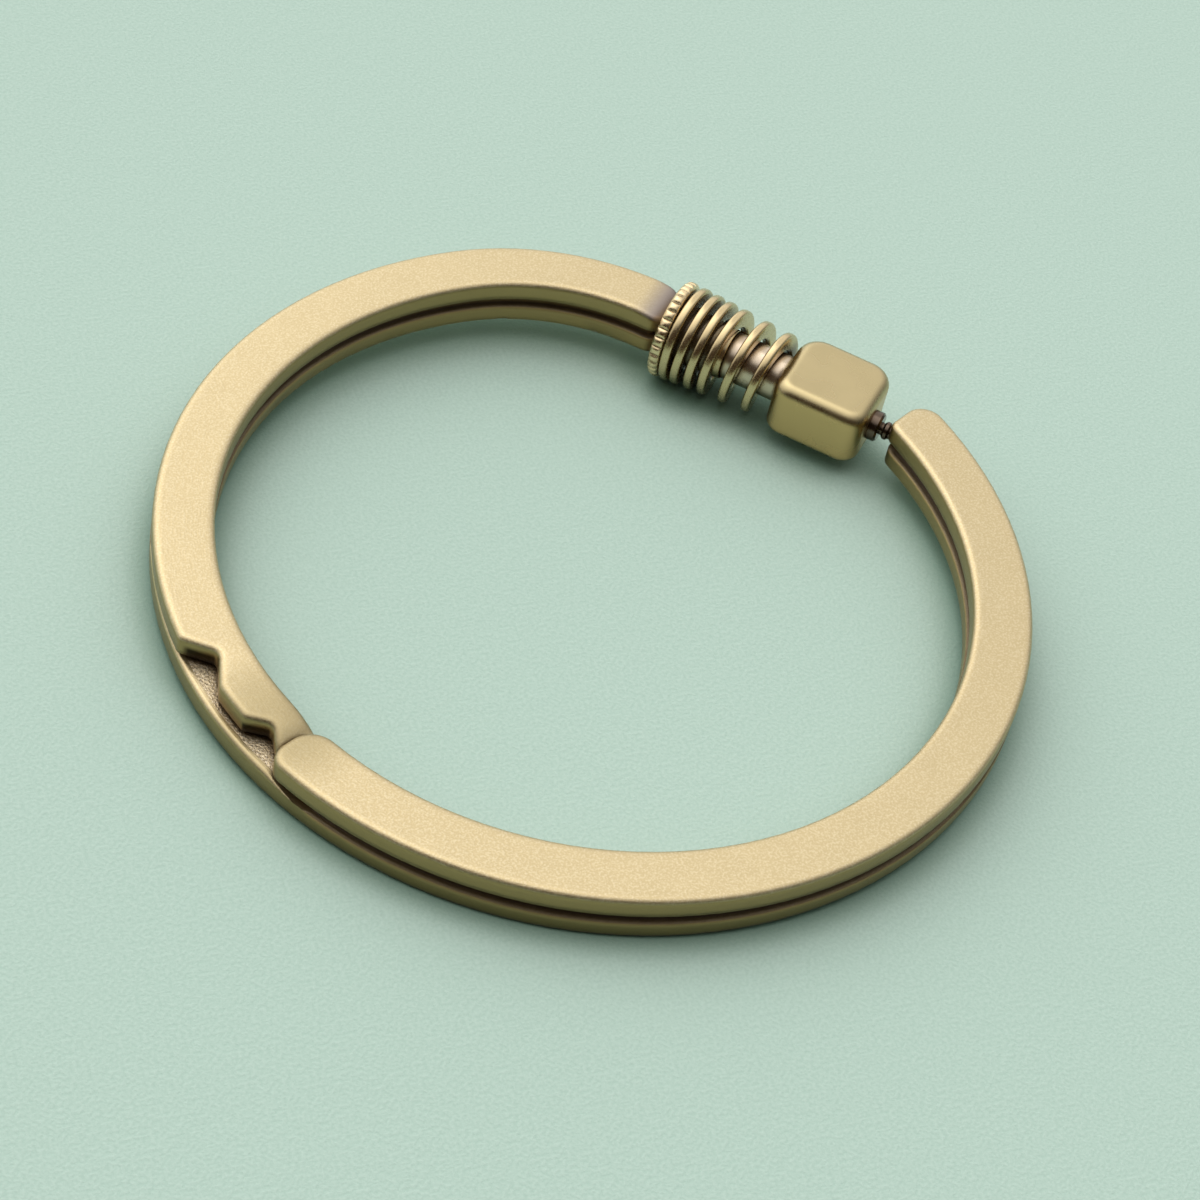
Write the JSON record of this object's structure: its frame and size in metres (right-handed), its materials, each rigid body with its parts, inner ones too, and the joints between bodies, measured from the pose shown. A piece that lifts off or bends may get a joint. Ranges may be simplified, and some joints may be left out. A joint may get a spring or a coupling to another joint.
{
  "type": "key ring",
  "caption": "Flat double-band key ring closed by a spring-loaded sliding clasp that latches on a small pin; pulled back against its coil spring it opens a gap for keys.",
  "frame": {"origin": "centre of the ring, on the plane where its two turns meet", "axes": "+Z out of the ring's flat top; the clasp is on the side of +X +Y and its line runs from the spring end, towards -X +Y, to the latch end, towards +X -Y"},
  "size_m": [0.032, 0.032, 0.004],
  "materials": {
    "band_brass": "satin, finely brushed along the band",
    "block_brass": "soft satin with polished edges",
    "antique_brass": "polished, dark in the grooves",
    "bright_steel": "drawn",
    "dark_steel": "blackened"
  },
  "bodies": {
    "ring": {"lower_turn": "band_brass", "upper_turn_left": "band_brass", "upper_turn_right": "band_brass", "knurled_collar": "antique_brass", "guide_rod": "bright_steel", "compression_spring": "antique_brass"},
    "clasp": {"clasp_block": "block_brass", "latch_pin": "dark_steel"}
  },
  "joints": [
    {"name": "clasp_slide", "type": "slide", "parent": "ring", "child": "clasp", "axis": [-0.7071, 0.7071, 0], "range_m": [0, 0.0021], "stiffness_N_per_m": 600, "springref_m": -0.001, "deforming": ["compression_spring"]}
  ]
}
